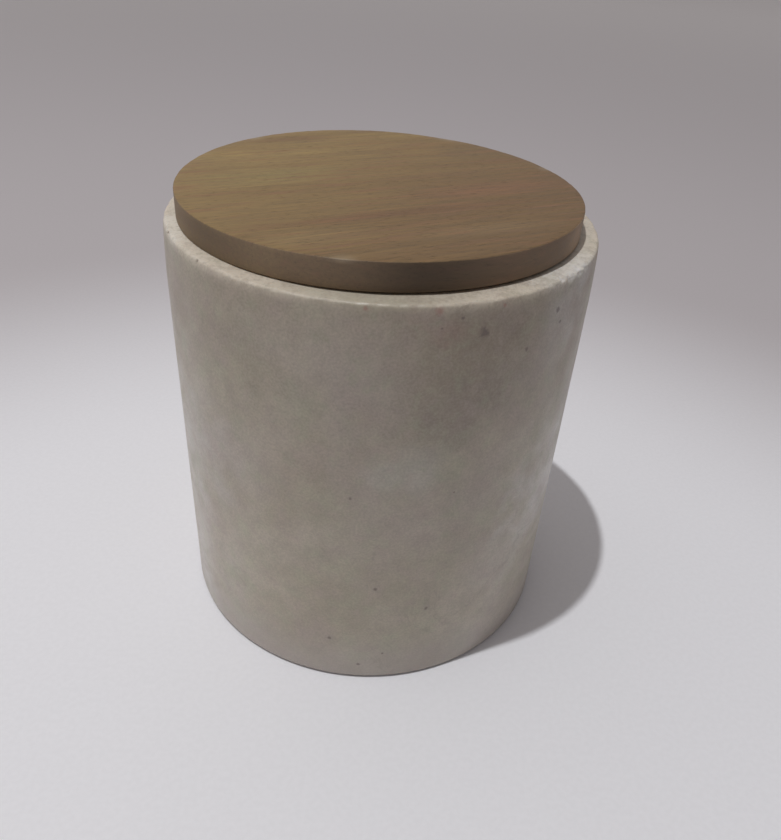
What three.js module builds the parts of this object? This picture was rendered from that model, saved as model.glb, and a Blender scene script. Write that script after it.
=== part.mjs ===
// A round stone canister with a flat wooden lid.
// Millimetres, +Z up. The origin is on the axis of the canister, on the surface that it stands on.

import * as THREE from 'three';

// Driving dimensions.
const BODY_DIAMETER = 120;
const BODY_HEIGHT = 125.4;
const SHOULDER_HEIGHT = 18;   // the outside draws in a little over this much of the top
const SHOULDER_INSET = 0.6;
const WALL_THICKNESS = 9;
const FLOOR_THICKNESS = 10;
const LID_DIAMETER = 110.8;
const LID_THICKNESS = 7.2;
const LID_SHIFT_X = -1;       // the lid's board is glued this far off the centre of its plug
const LID_SHIFT_Y = 0.8;
const PLUG_DEPTH = 9;
const PLUG_CLEARANCE = 1.2;   // between the plug and the wall of the mouth
const GROOVE_HEIGHT = 4.4;
const GROOVE_DEPTH = 2.6;
const SEAL_GAP = 0.3;         // left round the seal, where real silicone is squeezed
const PAD_DIAMETER = 12;
const PAD_THICKNESS = 0.8;
const PAD_COUNT = 4;
const PAD_CIRCLE_DIAMETER = 92;

// Radii of the rounded edges, and widths of the bevelled ones.
const RIM_OUTER_ROUND = 0.8;
const RIM_INNER_ROUND = 0.8;
const CAVITY_CORNER_ROUND = 6;
const BASE_BEVEL = 0.4;
const LID_BEVEL = 0.4;
const PLUG_BEVEL = 0.8;

// Worked out from the dimensions above.
const BODY_RADIUS = BODY_DIAMETER / 2;
const MOUTH_RADIUS = BODY_RADIUS - WALL_THICKNESS;
const PLUG_RADIUS = MOUTH_RADIUS - PLUG_CLEARANCE;
const GROOVE_RADIUS = PLUG_RADIUS - GROOVE_DEPTH;
const BASE_Z = PAD_THICKNESS;
const CAVITY_FLOOR_Z = BASE_Z + FLOOR_THICKNESS;
const RIM_Z = BASE_Z + BODY_HEIGHT;
const PLUG_BOTTOM_Z = RIM_Z - PLUG_DEPTH;
const GROOVE_BOTTOM_Z = PLUG_BOTTOM_Z + (PLUG_DEPTH - GROOVE_HEIGHT) / 2;
const GROOVE_TOP_Z = GROOVE_BOTTOM_Z + GROOVE_HEIGHT;

const ROUND_SEGMENTS = 96;
const PAD_SEGMENTS = 32;

const stone = new THREE.MeshStandardMaterial({ color: 0xcbc5bc, roughness: 0.5, metalness: 0 });
const wood = new THREE.MeshStandardMaterial({ color: 0x958263, roughness: 0.45, metalness: 0 });
const silicone = new THREE.MeshStandardMaterial({ color: 0xe4e6e4, roughness: 0.35, metalness: 0 });
const felt = new THREE.MeshStandardMaterial({ color: 0xcfcac2, roughness: 0.95, metalness: 0 });

function point(radius, z) {
  return new THREE.Vector2(radius, z);
}

// Points along a quarter-round corner, from startAngle to endAngle about its centre.
function arc(radius, z, size, startAngle, endAngle, steps = 5) {
  const points = [];
  for (let step = 0; step <= steps; step += 1) {
    const angle = startAngle + (endAngle - startAngle) * step / steps;
    points.push(point(radius + size * Math.cos(angle), z + size * Math.sin(angle)));
  }
  return points;
}

// A solid of revolution about +Z. The outline runs anticlockwise, with radius across and z up.
function turned(name, outline, material, segments = ROUND_SEGMENTS) {
  const geometry = new THREE.LatheGeometry(outline, segments);
  geometry.rotateX(Math.PI / 2);
  const mesh = new THREE.Mesh(geometry, material);
  mesh.name = name;
  return mesh;
}

// The outside of the body near its top, curving in more and more towards the rim.
function shoulder(steps = 5) {
  const points = [];
  for (let step = 0; step < steps; step += 1) {
    const share = step / steps;
    const z = RIM_Z - SHOULDER_HEIGHT * (1 - share);
    points.push(point(BODY_RADIUS - SHOULDER_INSET * share * share, z));
  }
  return points;
}

// One block, hollowed from the top, with a rounded rim and a rounded corner inside at the floor.
function stoneBody() {
  const outerCentre = BODY_RADIUS - SHOULDER_INSET - RIM_OUTER_ROUND;
  const innerCentre = MOUTH_RADIUS + RIM_INNER_ROUND;
  const cornerCentre = MOUTH_RADIUS - CAVITY_CORNER_ROUND;
  return turned('stone_body', [
    point(0, BASE_Z),
    point(BODY_RADIUS - BASE_BEVEL, BASE_Z),
    point(BODY_RADIUS, BASE_Z + BASE_BEVEL),
    ...shoulder(),
    ...arc(outerCentre, RIM_Z - RIM_OUTER_ROUND, RIM_OUTER_ROUND, 0, Math.PI / 2),
    ...arc(innerCentre, RIM_Z - RIM_INNER_ROUND, RIM_INNER_ROUND, Math.PI / 2, Math.PI, 3),
    ...arc(cornerCentre, CAVITY_FLOOR_Z + CAVITY_CORNER_ROUND, CAVITY_CORNER_ROUND, 0, -Math.PI / 2),
    point(0, CAVITY_FLOOR_Z),
  ], stone);
}

// The flat disc that lies on the rim.
function lidBoard() {
  const radius = LID_DIAMETER / 2;
  const top = RIM_Z + LID_THICKNESS;
  const board = turned('lid_board', [
    point(0, RIM_Z),
    point(radius - LID_BEVEL, RIM_Z),
    point(radius, RIM_Z + LID_BEVEL),
    point(radius, top - LID_BEVEL),
    point(radius - LID_BEVEL, top),
    point(0, top),
  ], wood);
  board.position.set(LID_SHIFT_X, LID_SHIFT_Y, 0);
  return board;
}

// The disc under the board that drops into the mouth, with a groove round it for the seal.
function lidPlug() {
  return turned('lid_plug', [
    point(0, PLUG_BOTTOM_Z),
    point(PLUG_RADIUS - PLUG_BEVEL, PLUG_BOTTOM_Z),
    point(PLUG_RADIUS, PLUG_BOTTOM_Z + PLUG_BEVEL),
    point(PLUG_RADIUS, GROOVE_BOTTOM_Z),
    point(GROOVE_RADIUS, GROOVE_BOTTOM_Z),
    point(GROOVE_RADIUS, GROOVE_TOP_Z),
    point(PLUG_RADIUS, GROOVE_TOP_Z),
    point(PLUG_RADIUS, RIM_Z),
    point(0, RIM_Z),
  ], wood);
}

// A flat band in the groove, with two soft lips that reach out to the wall of the mouth.
function lidSeal() {
  const inner = GROOVE_RADIUS + SEAL_GAP;
  const lipTip = MOUTH_RADIUS - SEAL_GAP;
  const bottom = GROOVE_BOTTOM_Z + SEAL_GAP;
  const top = GROOVE_TOP_Z - SEAL_GAP;
  const halfLip = (top - bottom) / 4;
  return turned('lid_seal', [
    point(inner, bottom),
    point(PLUG_RADIUS, bottom),
    point(lipTip, bottom + halfLip),
    point(PLUG_RADIUS, bottom + 2 * halfLip),
    point(lipTip, bottom + 3 * halfLip),
    point(PLUG_RADIUS, top),
    point(inner, top),
    point(inner, bottom),
  ], silicone);
}

// One of the round pads that are spaced evenly on a circle under the base.
function footPad(index) {
  const angle = (index + 0.5) * 2 * Math.PI / PAD_COUNT;
  const circle = PAD_CIRCLE_DIAMETER / 2;
  const radius = PAD_DIAMETER / 2;
  const pad = turned(`foot_pad_${index + 1}`, [
    point(0, 0),
    point(radius, 0),
    point(radius, PAD_THICKNESS),
    point(0, PAD_THICKNESS),
  ], felt, PAD_SEGMENTS);
  pad.position.set(circle * Math.cos(angle), circle * Math.sin(angle), 0);
  return pad;
}

const canister = new THREE.Group();
canister.add(stoneBody());
for (let index = 0; index < PAD_COUNT; index += 1) {
  canister.add(footPad(index));
}

const lid = new THREE.Group();
lid.add(lidBoard(), lidPlug(), lidSeal());

const model = new THREE.Group();
model.add(canister, lid);

export default model;
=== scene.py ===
"""Looks for a lidded stone canister: a round canister of pale mottled stone with a flat wooden lid."""
import math
from collections import namedtuple

import bpy
import numpy as np
from mathutils import Matrix, Vector, noise


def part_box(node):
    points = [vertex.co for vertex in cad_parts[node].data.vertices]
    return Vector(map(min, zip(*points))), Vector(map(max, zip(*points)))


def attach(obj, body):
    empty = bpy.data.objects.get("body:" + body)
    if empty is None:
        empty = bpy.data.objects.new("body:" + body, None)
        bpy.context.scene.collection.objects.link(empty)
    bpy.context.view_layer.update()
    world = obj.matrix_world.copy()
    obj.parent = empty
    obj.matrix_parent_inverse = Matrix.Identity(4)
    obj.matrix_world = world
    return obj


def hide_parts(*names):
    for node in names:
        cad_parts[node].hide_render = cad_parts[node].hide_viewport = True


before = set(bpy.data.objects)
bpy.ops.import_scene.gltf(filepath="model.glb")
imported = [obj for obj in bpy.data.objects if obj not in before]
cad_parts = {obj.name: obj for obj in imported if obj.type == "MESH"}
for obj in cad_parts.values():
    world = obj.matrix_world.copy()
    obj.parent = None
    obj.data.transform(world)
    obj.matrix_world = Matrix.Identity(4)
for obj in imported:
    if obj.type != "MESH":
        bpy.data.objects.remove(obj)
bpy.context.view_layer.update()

# One millimetre, in metres.
MM = 0.001


# ---------------------------------------------------------------------------------------------
# Sizes, read from the frame
# ---------------------------------------------------------------------------------------------

def cad_points(node):
    """Every corner of a CAD node, as (distance from the axis, height)."""
    return [(math.hypot(v.co.x, v.co.y), v.co.z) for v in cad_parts[node].data.vertices]


BODY_LOW, BODY_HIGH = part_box("stone_body")
BODY_POINTS = cad_points("stone_body")
BODY_RADIUS = (BODY_HIGH.x - BODY_LOW.x) / 2
BASE_Z = BODY_LOW.z
RIM_Z = BODY_HIGH.z
BODY_HEIGHT = RIM_Z - BASE_Z
MOUTH_RADIUS = min(radius for radius, z in BODY_POINTS if z > (BASE_Z + RIM_Z) / 2)
INSIDE_FLOOR_Z = max(z for radius, z in BODY_POINTS if radius < MM)
SHOULDER_Z = max(z for radius, z in BODY_POINTS if radius > BODY_RADIUS - 0.01 * MM)
RIM_RADIUS = max(radius for radius, z in BODY_POINTS if z > RIM_Z - MM)

LID_LOW, LID_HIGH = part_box("lid_board")
LID_RADIUS = (LID_HIGH.x - LID_LOW.x) / 2
LID_CENTRE = Vector(((LID_HIGH.x + LID_LOW.x) / 2, (LID_HIGH.y + LID_LOW.y) / 2, 0))

PLUG_LOW, PLUG_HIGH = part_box("lid_plug")
PLUG_RADIUS = (PLUG_HIGH.x - PLUG_LOW.x) / 2
GROOVE_POINTS = [(radius, z) for radius, z in cad_points("lid_plug") if MM < radius < PLUG_RADIUS - MM]
GROOVE_RADIUS = min(radius for radius, z in GROOVE_POINTS)
GROOVE_LOW_Z = min(z for radius, z in GROOVE_POINTS if radius < GROOVE_RADIUS + MM)
GROOVE_HIGH_Z = max(z for radius, z in GROOVE_POINTS if radius < GROOVE_RADIUS + MM)

SEAL_LOW, SEAL_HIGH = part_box("lid_seal")
SEAL_OUTER = (SEAL_HIGH.x - SEAL_LOW.x) / 2
SEAL_INNER = min(radius for radius, z in cad_points("lid_seal"))


# ---------------------------------------------------------------------------------------------
# Mesh tools
# ---------------------------------------------------------------------------------------------

def arc(centre, size, start_deg, end_deg, steps):
    """Profile points round part of a circle, ends included."""
    angles = np.radians(np.linspace(start_deg, end_deg, steps + 1))
    return [(centre[0] + size * math.cos(a), centre[1] + size * math.sin(a)) for a in angles]


def stretch(start, end, step):
    """Profile points between start and end, about one step apart, both ends left out."""
    count = max(1, round(math.dist(start, end) / step))
    shares = np.arange(1, count) / count
    return [(start[0] + (end[0] - start[0]) * s, start[1] + (end[1] - start[1]) * s) for s in shares]


def lathe(name, profile, segments, centre=(0, 0), loop=False):
    """A closed solid turned about a vertical axis. The profile holds (radius, z) and runs anticlockwise.

    It goes from the axis to the axis, or with loop it closes on itself.
    """
    angles = np.arange(segments) * 2 * math.pi / segments
    points, rings = [], []
    for radius, z in profile:
        if radius == 0:
            rings.append([len(points)] * segments)
            points.append((centre[0], centre[1], z))
            continue
        rings.append(list(range(len(points), len(points) + segments)))
        for angle in angles:
            x, y = centre[0] + radius * math.cos(angle), centre[1] + radius * math.sin(angle)
            points.append((x, y, z))
    if loop:
        rings.append(rings[0])
    faces = []
    for low, high in zip(rings, rings[1:]):
        for i in range(segments):
            j = (i + 1) % segments
            corners = (low[i], low[j], high[j], high[i])
            faces.append(tuple(dict.fromkeys(corners)))
    mesh = bpy.data.meshes.new(name)
    mesh.from_pydata(points, [], faces)
    return mesh


def piece(mesh, body, node, material):
    """Shows a mesh as a smooth piece that rides on a body and stands for a CAD node."""
    mesh.polygons.foreach_set("use_smooth", [True] * len(mesh.polygons))
    mesh.materials.append(material)
    mesh.update()
    obj = bpy.data.objects.new(mesh.name, mesh)
    bpy.context.scene.collection.objects.link(obj)
    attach(obj, body)
    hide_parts(node)


def coordinates(mesh):
    """A mesh's points as an array of rows."""
    values = np.empty(len(mesh.vertices) * 3)
    mesh.vertices.foreach_get("co", values)
    return values.reshape(-1, 3)


def normals(mesh):
    """A mesh's outward directions at its points, as an array of rows."""
    values = np.empty(len(mesh.vertices) * 3)
    mesh.vertex_normals.foreach_get("vector", values)
    return values.reshape(-1, 3)


def push(mesh, amounts):
    """Moves each point along its outward direction by its own amount."""
    moved = coordinates(mesh) + normals(mesh) * amounts[:, None]
    mesh.vertices.foreach_set("co", moved.ravel())


def attribute(mesh, name, values):
    """Stores one number per point, for a material to read."""
    mesh.attributes.new(name, "FLOAT", "POINT").data.foreach_set("value", values.astype(np.float32))


def bumps(points, size, seed=0.0):
    """Smooth noise from about -1 to 1 at each point, with features of the given size."""
    shift = Vector((seed, -seed, seed / 2))
    return np.array([noise.noise(Vector(p) / size + shift) for p in points])


def soft_step(values, low, high):
    """0 below low and 1 above high, with a smooth change between."""
    share = np.clip((values - low) / (high - low), 0, 1)
    return share * share * (3 - 2 * share)


# ---------------------------------------------------------------------------------------------
# Material tools
# ---------------------------------------------------------------------------------------------

class Graph:
    """The node tree of a material or a world, with a short call for each kind of node."""

    def __init__(self, owner):
        owner.use_nodes = True
        self.nodes = owner.node_tree.nodes
        self.links = owner.node_tree.links

    def put(self, value, socket):
        """Links value to a socket if it comes from a node, or sets it if it is a number or colour."""
        if isinstance(value, bpy.types.NodeSocket):
            self.links.new(value, socket)
        elif isinstance(value, tuple) and len(value) == 3 and socket.type == "RGBA":
            socket.default_value = (*value, 1)
        else:
            socket.default_value = value

    def coordinate(self, kind):
        """A kind of texture coordinate."""
        return self.nodes.new("ShaderNodeTexCoord").outputs[kind]

    def vector(self, operation, a, b=None, scale=None):
        """A vector operation, which gives a number for a length, distance or dot product."""
        node = self.nodes.new("ShaderNodeVectorMath")
        node.operation = operation
        self.put(a, node.inputs[0])
        if b is not None:
            self.put(b, node.inputs[1])
        if scale is not None:
            self.put(scale, node.inputs["Scale"])
        return node.outputs["Value" if operation in ("LENGTH", "DISTANCE", "DOT_PRODUCT") else "Vector"]

    def math(self, operation, a, b=0.0, c=0.0, clamp=False):
        """An operation on numbers. MULTIPLY_ADD gives a * b + c."""
        node = self.nodes.new("ShaderNodeMath")
        node.operation = operation
        node.use_clamp = clamp
        for socket, value in zip(node.inputs, (a, b, c)):
            self.put(value, socket)
        return node.outputs[0]

    def noise(self, place, size, detail=3.0, rough=0.5, warp=0.0):
        """Noise from 0 to 1, with features of the given size."""
        node = self.nodes.new("ShaderNodeTexNoise")
        self.put(place, node.inputs["Vector"])
        self.put(1 / size, node.inputs["Scale"])
        self.put(detail, node.inputs["Detail"])
        self.put(rough, node.inputs["Roughness"])
        self.put(warp, node.inputs["Distortion"])
        return node.outputs["Fac"]

    def cells(self, place, size):
        """Scattered points, as (distance to the nearest in units of size, its random colour)."""
        node = self.nodes.new("ShaderNodeTexVoronoi")
        self.put(place, node.inputs["Vector"])
        self.put(1 / size, node.inputs["Scale"])
        return node.outputs["Distance"], node.outputs["Color"]

    def span(self, value, low, high, to_low=0.0, to_high=1.0):
        """Maps low..high to to_low..to_high smoothly, and holds the ends."""
        node = self.nodes.new("ShaderNodeMapRange")
        node.interpolation_type = "SMOOTHSTEP"
        for socket, number in zip(node.inputs, (value, low, high, to_low, to_high)):
            self.put(number, socket)
        return node.outputs[0]

    def mix(self, share, a, b):
        """Colour a at share 0, and b at share 1."""
        node = self.nodes.new("ShaderNodeMix")
        node.data_type = "RGBA"
        self.put(share, node.inputs["Factor"])
        self.put(a, node.inputs["A"])
        self.put(b, node.inputs["B"])
        return node.outputs["Result"]

    def tone(self, colour, amount):
        """A colour made lighter or darker: multiplied by amount."""
        return self.vector("SCALE", colour, scale=amount)


class Surface(Graph):
    """A material's node tree. Lengths are in millimetres."""

    def __init__(self, name):
        self.material = bpy.data.materials.new(name)
        super().__init__(self.material)
        self.place = self.vector("SCALE", self.coordinate("Object"), scale=1 / MM)

    def stored(self, name):
        """A number stored on the mesh's points."""
        node = self.nodes.new("ShaderNodeAttribute")
        node.attribute_name = name
        return node.outputs["Fac"]

    def bump(self, height, distance, under=None):
        """Surface tilt from a height field; distance is how far 1.0 stands out, in millimetres."""
        node = self.nodes.new("ShaderNodeBump")
        self.put(height, node.inputs["Height"])
        self.put(distance * MM, node.inputs["Distance"])
        if under is not None:
            self.put(under, node.inputs["Normal"])
        return node.outputs["Normal"]

    def finish(self, **inputs):
        """Sets the surface shader's inputs and returns the material."""
        shader = self.nodes["Principled BSDF"]
        for name, value in inputs.items():
            self.put(value, shader.inputs[name.replace("_", " ")])
        return self.material


# ---------------------------------------------------------------------------------------------
# Stone body
# ---------------------------------------------------------------------------------------------

# A mark on the outside of the stone: its azimuth (0 is in front, 90 on the right), its height as a
# share of the body's, and its width.
Mark = namedtuple("Mark", "azimuth height width")

DARK_MARKS = [
    Mark(25.7, 0.938, 1.9 * MM),
    Mark(-2.7, 0.566, 0.7 * MM),
    Mark(4.7, 0.306, 0.9 * MM),
    Mark(19.5, 0.226, 0.9 * MM),
    Mark(-7.3, 0.129, 0.9 * MM),
    Mark(1.3, 0.044, 0.8 * MM),
    Mark(23.3, 0.569, 0.5 * MM),
    Mark(20, 0.972, 0.6 * MM),
    Mark(15.5, 0.955, 0.4 * MM),
    Mark(38.5, 0.880, 0.9 * MM),
    Mark(48, 0.940, 1.2 * MM),
    Mark(50, 0.910, 0.8 * MM),
    Mark(8, 0.084, 0.6 * MM),
    Mark(112, 0.700, 1.5 * MM),
    Mark(168, 0.420, 1.2 * MM),
    Mark(-120, 0.830, 1.4 * MM),
    Mark(-150, 0.260, 1.0 * MM),
]
PINK_MARKS = [
    Mark(14.6, 0.988, 1.5 * MM),
    Mark(-1, 0.990, 0.9 * MM),
    Mark(30, 0.985, 0.8 * MM),
    Mark(-100, 0.960, 4.0 * MM),
    Mark(150, 0.930, 3.5 * MM),
]

# The stone's own colours, with three colours of painted sheen and painted shade among them.
SAND = (0.458, 0.398, 0.314)
CREAM = (0.556, 0.498, 0.410)
STRAW = (0.495, 0.448, 0.338)
DEEP = (0.340, 0.272, 0.200)
PLUM = (0.345, 0.292, 0.242)
PALE = (0.590, 0.553, 0.500)
LILAC = (0.512, 0.452, 0.402)
OLIVE = (0.412, 0.368, 0.264)
ROSE = (0.450, 0.360, 0.296)
MAUVE = (0.478, 0.396, 0.348)
MOSS = (0.468, 0.462, 0.340)
MILKY = (0.575, 0.565, 0.510)
RUSTY = (0.415, 0.285, 0.240)
# Painted shade for the low front of the body.
FRONT_SHADE = (0.400, 0.356, 0.275)
# Painted sheen for the left edge of the body.
LEFT_EDGE_SHEEN = (0.610, 0.570, 0.520)
CHALK = (0.640, 0.610, 0.585)
WARM_CHALK = (0.640, 0.610, 0.575)
# Painted sheen for the left and right edges of the body.
EDGE_SHEEN = (0.690, 0.655, 0.615)
COOL_BASE = (0.495, 0.442, 0.425)
# What marks it.
VEIN = (0.330, 0.280, 0.235)
SPECK = (0.25, 0.21, 0.175)
DARK_STAIN = (0.17, 0.130, 0.12)
PINK_STAIN = (0.390, 0.200, 0.170)
RIM_STAIN = (0.350, 0.285, 0.220)
DIRT = (0.215, 0.175, 0.140)
FRESH_STONE = (0.740, 0.720, 0.705)

# A soft cloud of another tone: its place and width as for a mark, its colour, and how strong it is. Two
# clouds low on the front are painted shade, and the last four, on the left and right edges, are painted
# sheen.
Cloud = namedtuple("Cloud", "azimuth height width colour strength")

CLOUDS = [
    Cloud(24, 0.90, 48 * MM, DEEP, 0.60),
    Cloud(12, 0.96, 16 * MM, ROSE, 0.45),
    Cloud(17, 0.945, 9 * MM, RUSTY, 0.40),
    Cloud(19, 0.75, 24 * MM, PLUM, 0.50),
    Cloud(35, 0.81, 24 * MM, PLUM, 0.42),
    Cloud(41, 0.90, 22 * MM, DEEP, 0.30),
    Cloud(13, 0.640, 16 * MM, MILKY, 0.42),
    Cloud(4, 0.625, 11 * MM, MILKY, 0.38),
    Cloud(-3, 0.83, 32 * MM, LILAC, 0.45),
    Cloud(-34, 0.79, 32 * MM, OLIVE, 0.40),
    Cloud(-28, 0.78, 7 * MM, PLUM, 0.35),
    Cloud(-16, 0.63, 15 * MM, ROSE, 0.30),
    Cloud(-37, 0.58, 30 * MM, LILAC, 0.55),
    Cloud(-10, 0.40, 9 * MM, PLUM, 0.40),
    Cloud(-53, 0.55, 36 * MM, PALE, 0.55),
    Cloud(-46, 0.36, 20 * MM, ROSE, 0.25),
    Cloud(-4, 0.28, 24 * MM, OLIVE, 0.35),
    Cloud(13, 0.31, 26 * MM, OLIVE, 0.35),
    Cloud(30, 0.50, 34 * MM, LILAC, 0.35),
    Cloud(42, 0.33, 30 * MM, PALE, 0.30),
    Cloud(-45, 0.22, 24 * MM, ROSE, 0.25),
    Cloud(57, 0.99, 16 * MM, CHALK, 0.75),
    Cloud(53, 0.92, 24 * MM, WARM_CHALK, 0.60),
    Cloud(95, 0.55, 46 * MM, PALE, 0.40),
    Cloud(130, 0.30, 40 * MM, OLIVE, 0.35),
    Cloud(170, 0.70, 50 * MM, LILAC, 0.40),
    Cloud(-150, 0.40, 44 * MM, DEEP, 0.30),
    Cloud(-105, 0.65, 40 * MM, OLIVE, 0.30),
    # Painted shade low on the front of the body.
    Cloud(7, 0.34, 56 * MM, FRONT_SHADE, 0.50),
    Cloud(6, 0.12, 48 * MM, FRONT_SHADE, 0.35),
    # Painted sheen on the left and right edges of the body.
    Cloud(65, 0.47, 50 * MM, EDGE_SHEEN, 0.62),
    Cloud(-65, 0.26, 54 * MM, LEFT_EDGE_SHEEN, 0.50),
    Cloud(-68, 0.07, 32 * MM, EDGE_SHEEN, 0.55),
    Cloud(-66, 0.50, 38 * MM, EDGE_SHEEN, 0.45),
]

# The worn colour of the rim, and areas of another tone in it.
RIM_COLOUR = (0.740, 0.665, 0.560)
RIM_DULL = (0.475, 0.445, 0.350)
RIM_WHITE = (0.830, 0.800, 0.745)
RIM_CREAM = (0.850, 0.805, 0.720)
RIM_CLOUDS = [
    Cloud(-2, 1.0, 46 * MM, RIM_DULL, 0.80),
    Cloud(56, 1.0, 34 * MM, RIM_WHITE, 0.90),
    Cloud(-66, 1.0, 26 * MM, RIM_CREAM, 0.90),
]

# Small breaks along the rim's outer edge: old ones with dirt in them, and fresh ones. None is
# deeper than DEEPEST_CHIP.
DEEPEST_CHIP = 0.5 * MM
OLD_CHIPS = [
    Mark(-64, 1.0, 1.7 * MM),
    Mark(-45, 0.997, 1.5 * MM),
    Mark(-29, 1.0, 1.0 * MM),
    Mark(98, 1.0, 1.5 * MM),
    Mark(-163, 1.0, 1.4 * MM),
]
FRESH_CHIPS = [
    Mark(49, 1.0, 2.4 * MM),
    Mark(52.5, 0.996, 3.8 * MM),
    Mark(57, 1.004, 5.2 * MM),
    Mark(61, 0.998, 3.4 * MM),
    Mark(141, 1.0, 4.0 * MM),
    Mark(-117, 1.0, 3.2 * MM),
]


def outer_radius(z):
    """The radius of the outside, which draws in near the rim."""
    share = max(0.0, (z - SHOULDER_Z) / (RIM_Z - SHOULDER_Z))
    return BODY_RADIUS - (BODY_RADIUS - RIM_RADIUS) * share * share


def mark_place(mark):
    """Where a mark is on the outside of the body."""
    z = BASE_Z + mark.height * BODY_HEIGHT
    angle = math.radians(mark.azimuth)
    radius = outer_radius(z)
    return Vector((radius * math.sin(angle), -radius * math.cos(angle), z))


def spots(graph, marks, ragged):
    """1 inside any of the marks and 0 outside them, with uneven edges."""
    total = 0.0
    for mark in marks:
        radius = mark.width / MM / 2
        apart = graph.vector("DISTANCE", graph.place, tuple(mark_place(mark) / MM))
        apart = graph.math("MULTIPLY_ADD", ragged, radius * 2.5, apart)
        total = graph.math("MAXIMUM", total, graph.span(apart, radius * 0.4, radius * 1.9, 1, 0))
    return total


def clouded(graph, colour, clouds):
    """Adds soft clouds to a colour."""
    ragged = graph.math("SUBTRACT", graph.noise(graph.place, 9, detail=5, rough=0.6), 0.5)
    for cloud in clouds:
        radius = cloud.width / MM / 2
        apart = graph.vector("DISTANCE", graph.place, tuple(mark_place(cloud) / MM))
        apart = graph.math("MULTIPLY_ADD", ragged, radius * 1.6, apart)
        share = graph.span(apart, radius * 0.1, radius * 1.35, cloud.strength, 0)
        colour = graph.mix(share, colour, cloud.colour)
    return colour


def shifted(graph, x, y, z):
    """Position moved far away, where the same noise has another pattern."""
    return graph.vector("ADD", graph.place, (x, y, z))


def ground_colour(graph):
    """Soft areas of cream and sand, some of them cooler or warmer."""
    cloud = graph.noise(graph.place, 34, detail=5, rough=0.55, warp=0.4)
    colour = graph.mix(graph.span(cloud, 0.30, 0.70), SAND, CREAM)
    cool = graph.noise(shifted(graph, 300, 0, 0), 26, detail=4)
    colour = graph.mix(graph.span(cool, 0.48, 0.72, 0, 0.5), colour, LILAC)
    warm = graph.noise(shifted(graph, 0, 500, 0), 20, detail=4)
    return graph.mix(graph.span(warm, 0.50, 0.75, 0, 0.5), colour, STRAW)


def mottled(graph, colour):
    """Adds purple and green patches of two sizes, and a finer change of tone."""
    for size, shift, amount in ((13, 900, 0.55), (4.5, 700, 0.45)):
        tint = graph.noise(shifted(graph, 0, 0, shift), size, detail=4, rough=0.6)
        colour = graph.mix(graph.span(tint, 0.50, 0.72, 0, amount), colour, MAUVE)
        colour = graph.mix(graph.span(tint, 0.50, 0.28, 0, amount), colour, MOSS)
    patch = graph.noise(graph.place, 6, detail=6, rough=0.7)
    colour = graph.tone(colour, graph.span(patch, 0.3, 0.7, 0.93, 1.06))
    grain = graph.noise(graph.place, 0.6, detail=2, rough=0.6)
    return graph.tone(colour, graph.span(grain, 0.25, 0.75, 0.90, 1.09))


def toned_by_height(graph, colour):
    """Darker towards the rim, and cooler just above the base."""
    height = graph.vector("DOT_PRODUCT", graph.place, (0, 0, 1))
    colour = graph.tone(colour, graph.span(height, 25, 120, 1.05, 0.92))
    return graph.mix(graph.span(height, 2, 22, 0.45, 0), colour, COOL_BASE)


def veined(graph, colour):
    """Adds thin faint veins in some areas."""
    folds = graph.noise(graph.place, 48, detail=6, rough=0.6, warp=1.2)
    line = graph.math("ABSOLUTE", graph.math("SUBTRACT", folds, 0.5))
    where = graph.span(graph.noise(graph.place, 60), 0.50, 0.62, 0, 0.30)
    vein = graph.math("MULTIPLY", graph.span(line, 0.0, 0.010, 1, 0), where)
    return graph.mix(vein, colour, VEIN)


def specked(graph, colour):
    """Adds scattered dark specks."""
    apart, random = graph.cells(graph.place, 7)
    size = graph.span(random, 0.75, 1.0, 0.0, 0.045)
    speck = graph.math("LESS_THAN", apart, size)
    return graph.mix(graph.math("MULTIPLY", speck, 0.45), colour, SPECK)


def worn_rim(graph, colour, worn):
    """Adds the paler worn colour of the rim, with stains in it."""
    blotch = graph.noise(graph.place, 2.4, detail=4, rough=0.7)
    pale = graph.math("MULTIPLY", worn, graph.span(blotch, 0.35, 0.6, 0.35, 0.8))
    colour = graph.mix(pale, colour, clouded(graph, RIM_COLOUR, RIM_CLOUDS))
    stain = graph.math("MULTIPLY", worn, graph.span(blotch, 0.58, 0.76, 0, 0.32))
    return graph.mix(stain, colour, RIM_STAIN)


def broken_places(graph, colour, old, fresh):
    """Adds dirt in the old breaks and crushed pale stone in the fresh ones."""
    colour = graph.mix(graph.math("MULTIPLY", old, 0.8), colour, DIRT)
    crushed = graph.noise(graph.place, 0.8, detail=3, rough=0.7)
    crushed = graph.span(crushed, 0.40, 0.60, 0.20, 0.85)
    return graph.mix(graph.math("MULTIPLY", fresh, crushed), colour, FRESH_STONE)


def stone_normal(graph, inside):
    """Fine grain, small pits, and turning marks on the inside."""
    fine = graph.noise(graph.place, 0.5, detail=3, rough=0.6)
    normal = graph.bump(fine, 0.03)
    apart, random = graph.cells(graph.place, 3.2)
    pit = graph.math("SUBTRACT", graph.span(random, 0.55, 1.0, 0, 0.10), apart, clamp=True)
    normal = graph.bump(pit, -0.9, under=normal)
    ring = graph.vector("MULTIPLY", graph.place, (0.02, 0.02, 1.0))
    score = graph.math("MULTIPLY", graph.noise(ring, 0.35, detail=3), inside)
    return graph.bump(score, 0.05, under=normal)


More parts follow.
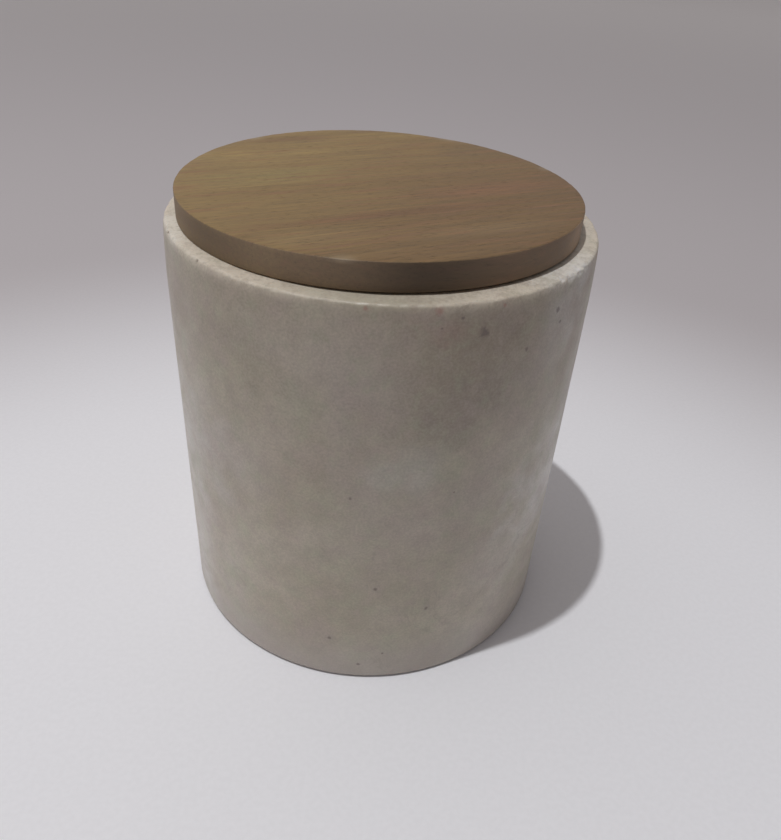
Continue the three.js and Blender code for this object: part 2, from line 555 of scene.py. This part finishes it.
def stone_material():
    """Pale mottled stone, honed outside, with its marks, its worn rim and its breaks, and painted sheen
    and shade in some of its clouds.
    """
    graph = Surface("mottled_stone")
    worn, inside = graph.stored("worn"), graph.stored("inside")
    old, fresh = graph.stored("old_break"), graph.stored("fresh_break")
    ragged = graph.math("SUBTRACT", graph.noise(graph.place, 0.9, detail=3), 0.5)

    colour = clouded(graph, ground_colour(graph), CLOUDS)
    colour = mottled(graph, colour)
    colour = toned_by_height(graph, colour)
    colour = specked(graph, veined(graph, colour))
    dark = spots(graph, DARK_MARKS, ragged)
    colour = graph.mix(graph.math("MULTIPLY", dark, 0.70), colour, DARK_STAIN)
    colour = worn_rim(graph, colour, worn)
    pink = spots(graph, PINK_MARKS, ragged)
    colour = graph.mix(graph.math("MULTIPLY", pink, 0.55), colour, PINK_STAIN)
    colour = broken_places(graph, colour, old, fresh)
    colour = graph.tone(colour, graph.span(inside, 0, 1, 1, 0.95))

    rough = graph.span(graph.noise(graph.place, 9, detail=4), 0.3, 0.7, 0.29, 0.43)
    rough = graph.math("MULTIPLY_ADD", worn, 0.12, rough)
    rough = graph.math("MULTIPLY_ADD", graph.math("ADD", old, fresh), 0.20, rough)
    rough = graph.math("MULTIPLY_ADD", inside, 0.12, rough, clamp=True)
    return graph.finish(Base_Color=colour, Roughness=rough, Normal=stone_normal(graph, inside), IOR=1.54,
                        Subsurface_Weight=0.12, Subsurface_Scale=2.5 * MM,
                        Subsurface_Radius=(1.0, 0.75, 0.55))


def body_profile():
    """The body's outline from the middle of the base, up the outside, over the rim and down inside."""
    base_round, rim_round, inner_round, corner = 0.35 * MM, 0.9 * MM, 0.9 * MM, 6 * MM
    coarse_step, inside_step, wall_step, rim_step, fine_step = 8 * MM, 6 * MM, 1.7 * MM, 0.9 * MM, 0.5 * MM
    rim_edge = outer_radius(RIM_Z) - rim_round
    rim_top = (rim_edge, RIM_Z)
    rim_inner = (MOUTH_RADIUS + inner_round, RIM_Z)
    wall_low = BASE_Z + base_round
    wall_high = RIM_Z - rim_round
    fine_z = RIM_Z - 5 * MM
    mouth_high = (MOUTH_RADIUS, RIM_Z - inner_round)
    mouth_low = (MOUTH_RADIUS, INSIDE_FLOOR_Z + corner)
    coarse = stretch((0, wall_low), (0, fine_z), wall_step)
    fine = stretch((0, fine_z), (0, wall_high), fine_step)
    wall = [(outer_radius(z), z) for _, z in [*coarse, (0, fine_z), *fine]]
    return [
        (0, BASE_Z),
        *stretch((0, BASE_Z), (BODY_RADIUS - base_round, BASE_Z), coarse_step),
        *arc((BODY_RADIUS - base_round, wall_low), base_round, -90, 0, 3),
        *wall,
        *arc((rim_edge, wall_high), rim_round, 0, 90, 7),
        *stretch(rim_top, rim_inner, rim_step),
        *arc((rim_inner[0], mouth_high[1]), inner_round, 90, 180, 4),
        *stretch(mouth_high, mouth_low, inside_step),
        *arc((MOUTH_RADIUS - corner, mouth_low[1]), corner, 0, -90, 6),
        *stretch((MOUTH_RADIUS - corner, INSIDE_FLOOR_Z), (0, INSIDE_FLOOR_Z), coarse_step),
        (0, INSIDE_FLOOR_Z),
    ]


def chip_depths(points, chips):
    """How far the stone is broken away at each point, and 1 where it is broken at all."""
    depth = np.zeros(len(points))
    ragged = bumps(points, 1.1 * MM, 7.0) + 0.5 * bumps(points, 0.5 * MM, 8.0)
    for chip in chips:
        apart = np.linalg.norm(points - np.array(mark_place(chip)), axis=1)
        radius = chip.width / 2
        share = 1 - soft_step(apart + 0.4 * radius * ragged, 0.45 * radius, radius)
        depth = np.maximum(depth, min(0.20 * chip.width, DEEPEST_CHIP) * share)
    return depth, soft_step(depth, 0.05 * MM, 0.3 * MM)


def stone_body():
    """The canister: a turned block with gentle waves in its surface and a worn, chipped rim."""
    mesh = lathe("canister_stone", body_profile(), segments=600)
    points = coordinates(mesh)
    radius = np.hypot(points[:, 0], points[:, 1])
    height = points[:, 2]
    edge = np.hypot(radius - RIM_RADIUS, height - RIM_Z)
    near_edge = np.exp(-(edge / (1.3 * MM)) ** 2)
    wavy = np.clip(bumps(points, 3.2 * MM, 3.0) + 0.5 * bumps(points, 1.1 * MM, 4.0), -0.3, 1)
    old_depth, old = chip_depths(points, OLD_CHIPS)
    fresh_depth, fresh = chip_depths(points, FRESH_CHIPS)
    on_rim = soft_step(height, RIM_Z - 0.6 * MM, RIM_Z - 0.1 * MM)
    swell = 0.05 * MM * bumps(points, 24 * MM) + 0.02 * MM * bumps(points, 7 * MM, 2.0)
    rim_swell = on_rim * (0.07 * MM * bumps(points, 11 * MM, 5.0) - 0.05 * MM)
    broken_away = np.maximum(old_depth, fresh_depth)
    push(mesh, swell + rim_swell - near_edge * (0.12 + 0.30 * wavy) * MM - broken_away)
    attribute(mesh, "worn", np.maximum(on_rim, np.exp(-(edge / (1.8 * MM)) ** 2)))
    attribute(mesh, "old_break", old)
    attribute(mesh, "fresh_break", fresh)
    attribute(mesh, "inside", (radius < MOUTH_RADIUS + 0.2 * MM) & (height > INSIDE_FLOOR_Z - MM))
    piece(mesh, "canister", "stone_body", stone_material())


# ---------------------------------------------------------------------------------------------
# Wooden lid
# ---------------------------------------------------------------------------------------------

# The grain of the board runs at this angle to the x axis, and the board is cupped across it: its
# two sides stand up by this much at the edge.
GRAIN_DEG = 27
CUP = 0.62 * MM


def across_grain(points):
    """Each point's distance across the grain from the middle of the board."""
    angle = math.radians(GRAIN_DEG)
    x = points[:, 0] - LID_CENTRE.x
    y = points[:, 1] - LID_CENTRE.y
    return y * math.cos(angle) - x * math.sin(angle)


def cup(mesh, share=1.0):
    """Bends a mesh up across the grain. The share of the bend is one number, or one per point."""
    points = coordinates(mesh)
    points[:, 2] += CUP * (across_grain(points) / LID_RADIUS) ** 2 * share
    mesh.vertices.foreach_set("co", points.ravel())


def grain_place(graph, turn_deg):
    """Position with x along the grain, y across it and z up, from the middle of the board's underside."""
    centre = (LID_CENTRE.x / MM, LID_CENTRE.y / MM, LID_LOW.z / MM)
    node = graph.nodes.new("ShaderNodeVectorRotate")
    node.rotation_type = "Z_AXIS"
    graph.put(graph.place, node.inputs["Vector"])
    graph.put(centre, node.inputs["Center"])
    graph.put(math.radians(-turn_deg), node.inputs["Angle"])
    return graph.vector("SUBTRACT", node.outputs["Vector"], centre)


def oval(graph, place, along, across, length, width, wobble):
    """1 in the middle of a long soft oval on the grain, fading to 0 at its edge."""
    away = graph.vector("SUBTRACT", place, (along, across, 0))
    away = graph.vector("MULTIPLY", away, (2 / length, 2 / width, 0))
    away = graph.math("MULTIPLY_ADD", wobble, 0.9, graph.vector("LENGTH", away))
    return graph.span(away, 0.2, 1.25, 1, 0)


# The wood's colours.
OCHRE = (0.236, 0.158, 0.068)
GOLDEN = (0.302, 0.212, 0.088)
RUSSET = (0.215, 0.124, 0.064)
RED_STREAK = (0.270, 0.142, 0.078)
GREYISH_SIDE = (0.262, 0.208, 0.168)
SCUFF_AND_GLINT_COLOUR = (0.50, 0.43, 0.33)

# Coloured bands in the board: how far along and across the grain from its middle, and how long and
# wide, in millimetres, the colour, and how strong it is.
WOOD_BANDS = [
    (0, -23, 92, 6, (0.190, 0.100, 0.055), 0.50),
    (-8, 47, 40, 7, (0.185, 0.108, 0.060), 0.45),
    (29, -12, 60, 14, (0.255, 0.128, 0.074), 0.50),
    (46, 22, 44, 16, (0.185, 0.128, 0.070), 0.35),
    (-35, -32, 40, 12, (0.330, 0.238, 0.108), 0.40),
    (-29, 14, 50, 14, (0.290, 0.236, 0.096), 0.55),
    (22, 3, 50, 4, (0.215, 0.130, 0.070), 0.35),
    (12, -40, 50, 8, (0.300, 0.212, 0.112), 0.30),
]


def drawn_out(graph, place, along):
    """Position pressed together along the grain, so that noise on it is drawn out into streaks."""
    return graph.vector("MULTIPLY", place, (along, 1, 1))


def growth_rings(graph, place, wobble):
    """Noise from 0 to 1 in layers round the tree's axis, which runs along the grain below the board."""
    rings = graph.vector("ADD", place, (0, 14, 95))
    rings = graph.vector("LENGTH", graph.vector("MULTIPLY", rings, (0, 1, 1)))
    rings = graph.math("MULTIPLY_ADD", wobble, 2.2, rings)
    along = graph.vector("DOT_PRODUCT", place, (1, 0, 0))
    layer = graph.nodes.new("ShaderNodeCombineXYZ")
    graph.put(rings, layer.inputs["X"])
    graph.put(graph.math("MULTIPLY", along, 0.012), layer.inputs["Y"])
    return graph.noise(layer.outputs["Vector"], 2.6, detail=4, rough=0.6)


def wood_colour(graph, place):
    """Growth rings seen as long bands, with streaks, coloured areas and open pores, and a slope from
    lighter to darker across the board that is partly painted sheen.

    Gives the colour and the noise of the streaks and the pores.
    """
    wobble = graph.math("SUBTRACT", graph.noise(drawn_out(graph, place, 0.12), 7, detail=4), 0.5)
    band = growth_rings(graph, place, wobble)
    colour = graph.mix(graph.span(band, 0.3, 0.7), OCHRE, GOLDEN)
    heart_and_sheen = graph.vector("DOT_PRODUCT", place, (0.62, -0.78, 0))
    colour = graph.mix(graph.span(heart_and_sheen, -45, 55, 0, 0.62), colour, RUSSET)
    # Lighter towards the back left and darker towards the front right: partly the wood's own tone, partly
    # painted sheen.
    colour = graph.tone(colour, graph.span(heart_and_sheen, -60, 55, 1.13, 0.79))
    for along, across, length, width, tint, strength in WOOD_BANDS:
        share = oval(graph, place, along, across, length, width, wobble)
        colour = graph.mix(graph.math("MULTIPLY", share, strength), colour, tint)
    streak = graph.noise(drawn_out(graph, place, 0.05), 0.9, detail=4, rough=0.65)
    colour = graph.tone(colour, graph.span(streak, 0.25, 0.75, 0.80, 1.18))
    hue = graph.noise(drawn_out(graph, place, 0.08), 1.7, detail=4, rough=0.6)
    colour = graph.mix(graph.span(hue, 0.48, 0.72, 0, 0.55), colour, RED_STREAK)
    pore = graph.noise(drawn_out(graph, place, 0.10), 0.28, detail=1)
    return graph.tone(colour, graph.span(pore, 0.60, 0.72, 1, 0.66)), streak, pore


def wood_material(name, turn_deg, tone=1.0):
    """Oiled wood with its grain at an angle to the x axis, made lighter or darker by tone."""
    graph = Surface(name)
    place = grain_place(graph, turn_deg)
    colour, streak, pore = wood_colour(graph, place)
    side = graph.stored("side")
    # The side is made paler and greyer than the top.
    colour = graph.tone(colour, graph.span(side, 0, 1, tone, tone * 1.18))
    colour = graph.mix(graph.math("MULTIPLY", side, 0.50), colour, GREYISH_SIDE)
    # Painted shade and painted light on the side, by azimuth.
    colour = graph.tone(colour, graph.math("SUBTRACT", 1.0, graph.stored("dark")))
    worn = graph.stored("worn")
    # Rubbed places on the upper edge made paler, the one in front a painted glint.
    colour = graph.mix(graph.math("MULTIPLY", worn, 0.45), colour, SCUFF_AND_GLINT_COLOUR)
    rough = graph.span(streak, 0.3, 0.7, 0.42, 0.54)
    rough = graph.math("MULTIPLY_ADD", graph.stored("end_grain"), 0.08, rough)
    normal = graph.bump(streak, 0.018)
    normal = graph.bump(graph.span(pore, 0.62, 0.76, 1, 0), 0.03, under=normal)
    return graph.finish(Base_Color=colour, Roughness=rough, Normal=normal, Specular_IOR_Level=0.25)


# Places on the side of the wood made darker or paler. The darkest, in front, is painted shade, and the
# palest, at the right end, is a painted reflection. Each has its azimuth and half width in degrees, and
# how much darker it is there, or below 0 how much paler.
PAINTED_SIDE_TONES = [(13, 15, 0.52), (-46, 14, 0.27), (-78, 8, 0.36), (46, 12, -0.06), (67, 8, -0.78)]


def store_facing(mesh, turn_deg):
    """Stores which points are on a disc's side, the painted shade and light on that side, and which face
    along the grain.
    """
    angle = math.radians(turn_deg)
    outward = normals(mesh)
    along = np.abs(outward @ np.array([math.cos(angle), math.sin(angle), 0]))
    side = soft_step(np.hypot(outward[:, 0], outward[:, 1]), 0.5, 0.9)
    azimuth = np.degrees(np.arctan2(outward[:, 0], -outward[:, 1]))
    attribute(mesh, "side", side)
    # Painted shade and light along the side.
    dark = sum(share * np.exp(-((azimuth - middle) / width) ** 2) for middle, width, share in PAINTED_SIDE_TONES)
    attribute(mesh, "dark", side * dark)
    attribute(mesh, "end_grain", soft_step(along, 0.45, 0.95))


# Rubbed places on the board's upper edge, the one in front a painted glint: azimuth and half width, in
# degrees.
LID_SCUFFS_AND_GLINT = [(-6, 3), (118, 2), (160, 4), (-131, 3)]


def lid_board():
    """The lid's round board, cupped and a little uneven, with a worn upper edge and a painted glint on it
    in front.
    """
    edge = 0.3 * MM
    top, bottom = LID_HIGH.z, LID_LOW.z
    side = LID_RADIUS - edge
    profile = [
        (0, bottom),
        *stretch((0, bottom), (side, bottom), 6 * MM),
        *arc((side, bottom + edge), edge, -90, 0, 3),
        *stretch((LID_RADIUS, bottom + edge), (LID_RADIUS, top - edge), 0.9 * MM),
        *arc((side, top - edge), edge, 0, 90, 4),
        *stretch((side, top), (0, top), 3 * MM),
        (0, top),
    ]
    mesh = lathe("lid_top_board", profile, segments=600, centre=LID_CENTRE.xy)
    points = coordinates(mesh)
    away = np.hypot(points[:, 0] - LID_CENTRE.x, points[:, 1] - LID_CENTRE.y)
    upper_edge = np.exp(-((away - LID_RADIUS) ** 2 + (points[:, 2] - top) ** 2) / (0.4 * MM) ** 2)
    angles = np.degrees(np.arctan2(points[:, 0] - LID_CENTRE.x, LID_CENTRE.y - points[:, 1]))
    scuff_and_glint = upper_edge * np.maximum.reduce([np.exp(-((angles - a) / w) ** 2) for a, w in LID_SCUFFS_AND_GLINT])
    wear = upper_edge * np.clip(0.3 + bumps(points, 2.5 * MM, 9.0), 0, 1)
    uneven = 0.04 * MM * bumps(points, 16 * MM, 1.0) + 0.012 * MM * bumps(points, 4 * MM, 6.0)
    store_facing(mesh, GRAIN_DEG)
    attribute(mesh, "worn", scuff_and_glint)
    push(mesh, uneven - 0.08 * MM * wear - 0.08 * MM * scuff_and_glint)
    cup(mesh)
    piece(mesh, "lid", "lid_board", wood_material("oiled_wood", GRAIN_DEG))


def lid_plug():
    """The round board under the lid, with a bevel below and a groove for the seal."""
    bevel, soft = 0.8 * MM, 0.2 * MM
    lip = PLUG_RADIUS - soft
    profile = [
        (0, PLUG_LOW.z),
        *stretch((0, PLUG_LOW.z), (PLUG_RADIUS - bevel, PLUG_LOW.z), 5 * MM),
        *arc((PLUG_RADIUS - bevel, PLUG_LOW.z + bevel), bevel, -90, 0, 4),
        *arc((lip, GROOVE_LOW_Z - soft), soft, 0, 90, 2),
        *arc((GROOVE_RADIUS + soft, GROOVE_LOW_Z + soft), soft, -90, -180, 2),
        *arc((GROOVE_RADIUS + soft, GROOVE_HIGH_Z - soft), soft, 180, 90, 2),
        *arc((lip, GROOVE_HIGH_Z + soft), soft, -90, 0, 2),
        *stretch((PLUG_RADIUS, GROOVE_HIGH_Z + soft), (PLUG_RADIUS, PLUG_HIGH.z), 0.8 * MM),
        (PLUG_RADIUS, PLUG_HIGH.z),
        *stretch((PLUG_RADIUS, PLUG_HIGH.z), (0, PLUG_HIGH.z), 6 * MM),
        (0, PLUG_HIGH.z),
    ]
    mesh = lathe("lid_under_plug", profile, segments=360)
    points = coordinates(mesh)
    turn_deg = GRAIN_DEG + 90
    store_facing(mesh, turn_deg)
    attribute(mesh, "worn", np.zeros(len(points)))
    push(mesh, 0.03 * MM * bumps(points, 12 * MM, 8.0))
    heights = coordinates(mesh)[:, 2]
    cup(mesh, np.clip((heights - GROOVE_HIGH_Z) / (PLUG_HIGH.z - GROOVE_HIGH_Z), 0, 1))
    material = wood_material("plug_wood", turn_deg, tone=1.08)
    piece(mesh, "lid", "lid_plug", material)


# ---------------------------------------------------------------------------------------------
# Seal and foot pads
# ---------------------------------------------------------------------------------------------

# The seal's and the pads' colours.
HAZY_SILICONE = (0.70, 0.72, 0.70)
CLEAR_SILICONE = (0.80, 0.82, 0.79)
GREY_FELT = (0.50, 0.47, 0.42)
PALE_FELT = (0.66, 0.63, 0.58)


def silicone_material():
    """Clear silicone with a slight haze and a little dust."""
    graph = Surface("clear_silicone")
    haze = graph.noise(graph.place, 5, detail=3)
    dust = graph.noise(graph.place, 0.4, detail=2)
    colour = graph.mix(graph.span(haze, 0.3, 0.7), HAZY_SILICONE, CLEAR_SILICONE)
    colour = graph.tone(colour, graph.span(dust, 0.55, 0.8, 1, 0.9))
    rough = graph.span(haze, 0.3, 0.7, 0.28, 0.42)
    normal = graph.bump(dust, 0.012)
    return graph.finish(Base_Color=colour, Roughness=rough, Normal=normal, IOR=1.41,
                        Subsurface_Weight=0.5, Subsurface_Scale=1.5 * MM, Subsurface_Radius=(1, 1, 1))


def lid_seal():
    """A band in the groove with two round-nosed lips."""
    low, high = SEAL_LOW.z, SEAL_HIGH.z
    lip = (high - low) / 4
    nose, soft = 0.28 * MM, 0.15 * MM
    # The lips stand on the band a little inside the plug's side.
    root = PLUG_RADIUS - 0.15 * MM
    profile = arc((SEAL_INNER + soft, low + soft), soft, 180, 270, 2)
    for centre in (low + lip, high - lip):
        profile += [(root, centre - lip + 0.05 * MM)]
        profile += stretch((root, centre - lip), (SEAL_OUTER - nose, centre - nose), 0.3 * MM)
        profile += arc((SEAL_OUTER - nose, centre), nose, -70, 70, 5)
        profile += stretch((SEAL_OUTER - nose, centre + nose), (root, centre + lip), 0.3 * MM)
        profile += [(root, centre + lip - 0.05 * MM)]
    profile += arc((SEAL_INNER + soft, high - soft), soft, 90, 180, 2)
    mesh = lathe("lid_seal_ring", profile, segments=360, loop=True)
    points = coordinates(mesh)
    push(mesh, 0.02 * MM * bumps(points, 9 * MM, 5.0))
    piece(mesh, "seal", "lid_seal", silicone_material())


def felt_material():
    """Pressed wool felt with tangled fibres."""
    graph = Surface("pressed_felt")
    fibre = graph.noise(graph.place, 0.35, detail=4, rough=0.7, warp=3.0)
    clump = graph.noise(graph.place, 2.2, detail=3)
    colour = graph.mix(graph.span(clump, 0.3, 0.7), GREY_FELT, PALE_FELT)
    colour = graph.tone(colour, graph.span(fibre, 0.3, 0.7, 0.78, 1.15))
    normal = graph.bump(fibre, 0.12)
    return graph.finish(Base_Color=colour, Roughness=0.95, Normal=normal, Sheen_Weight=0.3)


def foot_pad(index, material):
    """A disc of felt with a fuzzy side that bulges a little under the weight."""
    low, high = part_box(f"foot_pad_{index}")
    centre = (low + high) / 2
    room_for_fuzz = 0.15 * MM
    radius = (high.x - low.x) / 2 - room_for_fuzz
    soft = (high.z - low.z) * 0.45
    profile = [
        (0, low.z),
        *stretch((0, low.z), (radius - soft, low.z), 0.8 * MM),
        *arc((radius - soft, low.z + soft), soft, -90, 0, 4),
        *arc((radius - soft, high.z - soft), soft, 0, 90, 4),
        *stretch((radius - soft, high.z), (0, high.z), 1.2 * MM),
        (0, high.z),
    ]
    mesh = lathe(f"foot_pad_felt_{index}", profile, segments=96, centre=centre.xy)
    points = coordinates(mesh)
    outward = np.abs(normals(mesh)[:, 2]) < 0.9
    fuzz = 0.10 * MM * bumps(points, 0.5 * MM, index) + 0.08 * MM * bumps(points, 2 * MM, index)
    push(mesh, fuzz * outward)
    piece(mesh, "canister", f"foot_pad_{index}", material)


# ---------------------------------------------------------------------------------------------
# Floor, light and camera
# ---------------------------------------------------------------------------------------------

# A camera fitted to the outlines of the base, the rim and the lid.
LENS_MM = 32.31
SENSOR_MM = 36
CAMERA_DOWN_DEG = 34.49
CAMERA_ROLL_DEG = 3.976
# From the centre of the base, in body radii: right, back and up.
CAMERA_PLACE = Vector((0.0999, -3.4414, 3.2781))


def camera():
    """The photo's view."""
    data = bpy.data.cameras.new("camera")
    data.lens = LENS_MM
    data.sensor_width = SENSOR_MM
    data.clip_start = 0.01
    data.clip_end = 100
    obj = bpy.data.objects.new("camera", data)
    place = Matrix.Translation(CAMERA_PLACE * BODY_RADIUS + Vector((0, 0, BASE_Z)))
    tilt = Matrix.Rotation(math.radians(90 - CAMERA_DOWN_DEG), 4, "X")
    roll = Matrix.Rotation(math.radians(CAMERA_ROLL_DEG), 4, "Z")
    obj.matrix_world = place @ tilt @ roll
    bpy.context.scene.collection.objects.link(obj)
    bpy.context.scene.camera = obj


# The floor's colours near the canister, some way off and far away, and between which distances in
# millimetres it changes from one to the next; the grey some way off is painted shade, which leaves a
# painted pool of light round the canister. They are measured from a point in front of the canister. The
# floor's width is in metres.
FLOOR_NEAR = (0.895, 0.903, 0.945)
# Painted shade: the floor made grey some way off.
FLOOR_PAINTED_SHADE = (0.540, 0.512, 0.530)
FLOOR_FAR = (0.80, 0.78, 0.79)
FIRST_CHANGE = (190, 420)
SECOND_CHANGE = (700, 2500)
FLOOR_CENTRE = (0, -120, 0)
FLOOR_WIDTH = 40


def floor():
    """A white floor that is greyer away from the canister: painted shade round a painted pool of light."""
    bpy.ops.mesh.primitive_plane_add(size=FLOOR_WIDTH)
    obj = bpy.context.object
    obj.name = "floor"
    graph = Surface("pale_floor")
    away = graph.vector("DISTANCE", graph.place, FLOOR_CENTRE)
    colour = graph.mix(graph.span(away, *FIRST_CHANGE), FLOOR_NEAR, FLOOR_PAINTED_SHADE)
    colour = graph.mix(graph.span(away, *SECOND_CHANGE), colour, FLOOR_FAR)
    fibre = graph.noise(graph.place, 1.5, detail=3)
    colour = graph.tone(colour, graph.span(fibre, 0.3, 0.7, 0.985, 1.01))
    obj.data.materials.append(graph.finish(Base_Color=colour, Roughness=0.6))


# The key light: its width and distance in metres, its power in watts, and its direction, where
# azimuth 0 is in front and 90 is on the right.
KEY_WIDTH = 0.036
KEY_DISTANCE = 1.6
KEY_POWER = 11.6
KEY_AZIMUTH_DEG = -55
KEY_ELEVATION_DEG = 76


def key_light():
    """A small round lamp aimed at the middle of the canister."""
    data = bpy.data.lights.new("key", "AREA")
    data.shape = "DISK"
    data.size = KEY_WIDTH
    data.energy = KEY_POWER
    azimuth, elevation = math.radians(KEY_AZIMUTH_DEG), math.radians(KEY_ELEVATION_DEG)
    level = math.cos(elevation)
    away = Vector((math.sin(azimuth) * level, -math.cos(azimuth) * level, math.sin(elevation)))
    obj = bpy.data.objects.new("key", data)
    obj.location = away * KEY_DISTANCE + Vector((0, 0, BODY_HEIGHT / 2))
    obj.rotation_mode = "QUATERNION"
    obj.rotation_quaternion = away.to_track_quat("Z", "Y")
    bpy.context.scene.collection.objects.link(obj)


# The room's soft light: where each glow is, how wide it is (the cosine at which it starts) and its
# strength. x is right, y is back and z is up.
GLOWS = [
    ((0.0, 0.0, 1.0), 0.10, 0.17),
    ((-1.0, 0.0, 0.2), 0.20, 0.36),
    ((1.0, 0.0, 0.2), 0.20, 0.13),
    ((0.0, 1.0, 0.1), 0.30, 0.38),
    ((0.0, -1.0, 0.4), 0.20, 0.01),
]
# The light that comes from everywhere.
DIM_LIGHT = 0.018
ROOM_TINT = (1.05, 0.985, 0.975)
# How bright the room itself looks where the camera sees past the floor.
BACKDROP = 0.26


def room_light():
    """Soft light from several sides, and an even backdrop for the camera."""
    world = bpy.data.worlds.new("studio")
    graph = Graph(world)
    facing = graph.coordinate("Generated")
    total = DIM_LIGHT
    for direction, start, strength in GLOWS:
        turned = graph.vector("DOT_PRODUCT", facing, Vector(direction).normalized())
        total = graph.math("ADD", graph.span(turned, start, 1, 0, strength), total)
    seen = graph.nodes.new("ShaderNodeLightPath").outputs["Is Camera Ray"]
    background = graph.nodes["Background"]
    graph.put(graph.span(seen, 0, 1, total, BACKDROP), background.inputs["Strength"])
    graph.put(ROOM_TINT, background.inputs["Color"])
    bpy.context.scene.world = world


def lights():
    """The key light, the room's light, and colours shown as they are."""
    key_light()
    room_light()
    bpy.context.scene.view_settings.view_transform = "Standard"


stone_body()
lid_board()
lid_plug()
lid_seal()
felt = felt_material()
for number in range(1, 5):
    foot_pad(number, felt)
floor()
lights()
camera()
